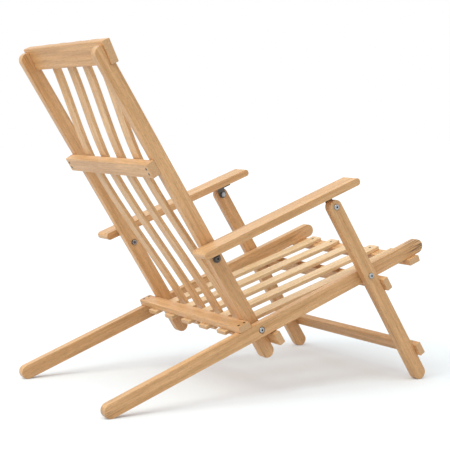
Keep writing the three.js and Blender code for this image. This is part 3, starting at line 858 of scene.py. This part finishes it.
class DECKCHAIR_OT_add_bolts(bpy.types.Operator):
    """Adds the pivot bolts with their nuts, washers, spacers and inserts"""

    bl_idname = "deckchair.add_bolts"
    bl_label = "Add the bolts, nuts and washers"

    def execute(self, context):
        steel = context.scene.deck_chair_steel
        for family in ("back_pivot", "leg_pivot", "arm_rear", "arm_front"):
            for kind in ("bolt", "nut", "washer", "spacer", "insert"):
                if f"{family}_{kind}_left" in frame["nodes"]:
                    self.add_pair(steel, family, kind)
        return {"FINISHED"}

    def add_pair(self, steel, family, kind):
        """Makes a fitting once and copies it to where its left node lies, and turned round to the right."""
        low, high = reach(f"{family}_{kind}_left")
        middle = (low + high) / 2
        if kind == "bolt":
            master, across = self.add_bolt(steel, high.x - low.x), high.x
        else:
            master, across = self.add_ring(steel, (high - low) / 2, kind), middle.x
        # Painted shade: the bolts at the stiles get the darker zinc in place of the shade of the armrests
        # over them
        finish = zinc_plate() if (family, kind) == ("arm_rear", "bolt") else stainless()
        for hand, side in (("left", 1), ("right", -1)):
            node = f"{family}_{kind}_{hand}"
            at = Matrix.Translation((side * across, middle.y, middle.z))
            if hand == "right":
                at = at @ Matrix.Rotation(math.pi, 4, "Z")
            finish_piece(copy_at(master, node + "_steel", at), BODY_OF[node], finish, (node,))
        bpy.data.objects.remove(master)

    def add_bolt(self, steel, length):
        """A button head bolt along X, with the top of its head at X zero."""
        bolt = add_rod(steel.head_radius, -steel.head_height, 0)
        round_rim(bolt, -steel.head_height / 2, steel.crown, segments=6)
        socket = add_rod(steel.socket_radius, -steel.socket_depth, OVERRUN, sides=6)
        shank = add_rod(steel.shank_radius, -length, -steel.head_height / 2)
        cut(bolt, [shank], "UNION")
        cut(bolt, [socket])
        return bolt

    def add_ring(self, steel, half_size, kind):
        """A washer, spacer, insert or hexagon nut along X, about its middle, with its hole."""
        sides = 6 if kind == "nut" else ROUND_STEPS
        radius = max(half_size.y, half_size.z)
        ring = add_rod(radius, -half_size.x, half_size.x, sides=sides)
        edge_radius = steel.nut_edge_radius if kind == "nut" else steel.ring_edge_radius
        ease_edges(ring, edge_radius, segments=2, sharper_than=50)
        hole = add_rod(steel.shank_radius + steel.bolt_fit, -half_size.x - OVERRUN, half_size.x + OVERRUN)
        cut(ring, [hole])
        return ring


class DECKCHAIR_OT_add_brackets(bpy.types.Operator):
    """Adds the angle brackets between the armrests and their pivots"""

    bl_idname = "deckchair.add_brackets"
    bl_label = "Add the brackets"

    def execute(self, context):
        steel = context.scene.deck_chair_steel
        for end, pivot, tab_is_inner in (("rear", REAR_ARM_PIVOT, True), ("front", FRONT_ARM_PIVOT, False)):
            for hand in HANDS:
                node = f"arm_{end}_bracket_{hand}"
                piece = self.add_bracket(steel, node, pivot, tab_is_inner)
                settle(piece, Matrix.Rotation(RAIL_TURN, 4, "X"))
                piece.name = piece.data.name = node + "_steel"
                finish_piece(piece, BODY_OF[node], zinc_plate(), (node,))
                self.add_pan_screws(steel, node)
        return {"FINISHED"}

    def add_bracket(self, steel, node, pivot, tab_is_inner):
        """A plate under the armrest with a round tab down to the pivot, in the armrest's axes."""
        low, high = reach(node, RAIL_TURN)
        centre = Matrix.Rotation(-RAIL_TURN, 3, "X") @ pivot
        plate = add_block(Vector((low.x, low.y, high.z - steel.bracket_thickness)), high)
        round_edges(plate, THROUGH, steel.bracket_corner_radius, segments=4)
        # The tab stands on the plate's edge nearer to the stile or the leg
        inner, outer = sorted((low.x, high.x), key=abs)
        heel = inner if tab_is_inner else outer
        away = math.copysign(steel.bracket_thickness, (low.x + high.x) / 2 - heel)
        sides = sorted((heel, heel + away))
        radius = steel.bracket_tab_radius
        tab = add_block(
            Vector((sides[0], centre.y - radius, low.z)), Vector((sides[1], centre.y + radius, high.z))
        )
        bevel_edges(
            tab, lambda middle, way: abs(way.x) > ALIGNED and middle.z < centre.z,
            radius * ROUND_END_SHARE, segments=12,
        )
        hole = add_rod(
            steel.shank_radius + steel.bolt_fit, sides[0] - OVERRUN, sides[1] + OVERRUN, (centre.y, centre.z)
        )
        cut(plate, [tab], "UNION")
        cut(plate, [hole])
        return plate

    def add_pan_screws(self, steel, node):
        """Two pan heads under a bracket's plate, clear of its tab."""
        low, high = reach(node, RAIL_TURN)
        plate = Vector(((low.x + high.x) / 2, (low.y + high.y) / 2, high.z - steel.bracket_thickness))
        for number, spot in enumerate((-steel.pan_screw_spread / 2, steel.pan_screw_spread / 2), 1):
            screw = add_rod(steel.screw_radius, 0, steel.pan_head_height)
            round_rim(screw, steel.pan_head_height / 2, steel.pan_head_crown, segments=4)
            place = Matrix.Translation((plate.x, plate.y + spot, plate.z))
            at = Matrix.Rotation(RAIL_TURN, 4, "X") @ place
            settle(screw, at @ Matrix.Rotation(math.pi / 2, 4, "Y"))
            screw.name = screw.data.name = f"{node}_screw_{number}"
            finish_piece(screw, BODY_OF[node], stainless())


class DECKCHAIR_OT_stage(bpy.types.Operator):
    """Sets up the white floor, the lamps and the photograph's camera"""

    bl_idname = "deckchair.stage"
    bl_label = "Set the stage"

    def execute(self, context):
        studio = context.scene.deck_chair_studio
        target = Vector(studio.target)
        turn, height = studio.azimuth, studio.elevation
        level = math.cos(height)
        away = Vector((math.sin(turn) * level, -math.cos(turn) * level, math.sin(height)))
        bpy.ops.object.select_all(action="DESELECT")
        bpy.ops.object.camera_add(
            location=target + studio.distance * away, rotation=away.to_track_quat("Z", "Y").to_euler()
        )
        camera = context.object
        camera.data.sensor_width = SENSOR_WIDTH
        camera.data.lens = studio.focal_length
        context.scene.camera = camera

        bpy.ops.mesh.primitive_plane_add(size=studio.floor_size, location=(0, 0, 0))
        floor = context.object
        floor.name = "studio_floor"
        floor.data.materials.append(self.white_floor(studio))

        self.lamp("key_lamp", studio.key_from, studio.key_strength, studio.key_spread, studio.key_colour)
        self.lamp(
            "rear_lamp", studio.rear_from, studio.rear_strength, studio.rear_spread, studio.rear_colour
        )
        self.white_walls(context.scene, studio)
        context.scene.view_settings.view_transform = "Standard"
        return {"FINISHED"}

    def lamp(self, name, source, strength, spread, colour):
        """A far soft box: a sun lamp that is as wide as the box looks."""
        bpy.ops.object.light_add(type="SUN", rotation=Vector(source).to_track_quat("Z", "Y").to_euler())
        lamp = bpy.context.object
        lamp.name = name
        lamp.data.energy = strength
        lamp.data.angle = spread
        lamp.data.color = linear(colour)[:3]

    def seen(self, tree):
        """1 for what the camera, a reflection or a view through glass sees, and 0 for what lights."""
        path = add_node(tree, "LightPath")
        mirrored = add_node(
            tree, "Math", {"operation": "MAXIMUM"},
            {0: path.outputs["Is Camera Ray"], 1: path.outputs["Is Glossy Ray"]},
        )
        return add_node(
            tree, "Math", {"operation": "MAXIMUM"}, {0: mirrored, 1: path.outputs["Is Transmission Ray"]}
        )

    def white_floor(self, studio):
        """Matt white studio paper, lifted to white where it is seen, which keeps the shadow.

        To the chair it is as dim as a small sheet of paper would be, so undersides stay dark.
        """
        material, tree = new_material("matt_white_paper")
        seen = self.seen(tree)
        colour = add_node(
            tree, "Mix",
            {"data_type": "RGBA", 6: grey(studio.floor_bounce), 7: linear(studio.paper)}, {0: seen},
        )
        paper = add_node(
            tree, "BsdfPrincipled", {"Roughness": 0.9, "Specular IOR Level": 0.0},
            {"Base Color": colour.outputs[2]},
        )
        strength = add_node(tree, "Math", {"operation": "MULTIPLY", 1: studio.floor_lift}, {0: seen})
        glow = add_node(tree, "Emission", {"Color": linear(studio.paper_glow)}, {"Strength": strength})
        both = add_node(tree, "AddShader", links={0: paper, 1: glow})
        add_node(tree, "OutputMaterial", links={"Surface": both})
        return material

    def white_walls(self, scene, studio):
        """Plain white all round, which lights the chair with less than is seen of it."""
        world = bpy.data.worlds.new("white_studio")
        scene.world = world
        world.use_nodes = True
        tree = world.node_tree
        tree.nodes.clear()
        strength = add_node(
            tree, "MapRange", {"To Min": studio.ambient, "To Max": 1.0}, {"Value": self.seen(tree)}
        )
        walls = add_node(tree, "Background", {"Color": linear(studio.walls)}, {"Strength": strength})
        add_node(tree, "OutputWorld", links={"Surface": walls})


OPERATORS = (
    DECKCHAIR_OT_add_members,
    DECKCHAIR_OT_add_bars,
    DECKCHAIR_OT_add_armrests,
    DECKCHAIR_OT_add_slats,
    DECKCHAIR_OT_drive_screws,
    DECKCHAIR_OT_finish_timber,
    DECKCHAIR_OT_add_bolts,
    DECKCHAIR_OT_add_brackets,
    DECKCHAIR_OT_stage,
)


class DECKCHAIR_PT_panel(bpy.types.Panel):
    """Lists the settings and the steps in the order in which the chair is built"""

    bl_label = "Steamer deck chair"
    bl_space_type = "VIEW_3D"
    bl_region_type = "UI"
    bl_category = "Deck chair"

    def draw(self, context):
        scene = context.scene
        for settings in (scene.deck_chair_timber, scene.deck_chair_steel, scene.deck_chair_studio):
            box = self.layout.box()
            for name in settings.__annotations__:
                box.prop(settings, name)
        for operator in OPERATORS:
            self.layout.operator(operator.bl_idname)


SETTINGS = {
    "deck_chair_timber": TimberSettings,
    "deck_chair_steel": SteelSettings,
    "deck_chair_studio": StudioSettings,
}


def register():
    for cls in (*SETTINGS.values(), *OPERATORS, DECKCHAIR_PT_panel):
        bpy.utils.register_class(cls)
    for name, settings in SETTINGS.items():
        setattr(bpy.types.Scene, name, bpy.props.PointerProperty(type=settings))


def unregister():
    for name in SETTINGS:
        delattr(bpy.types.Scene, name)
    for cls in (DECKCHAIR_PT_panel, *reversed(OPERATORS), *SETTINGS.values()):
        bpy.utils.unregister_class(cls)


def main():
    register()
    bpy.ops.deckchair.add_members()
    bpy.ops.deckchair.add_bars()
    bpy.ops.deckchair.add_armrests()
    bpy.ops.deckchair.add_slats()
    bpy.ops.deckchair.drive_screws()
    bpy.ops.deckchair.finish_timber()
    bpy.ops.deckchair.add_bolts()
    bpy.ops.deckchair.add_brackets()
    bpy.ops.deckchair.stage()


if __name__ == "__main__":
    main()
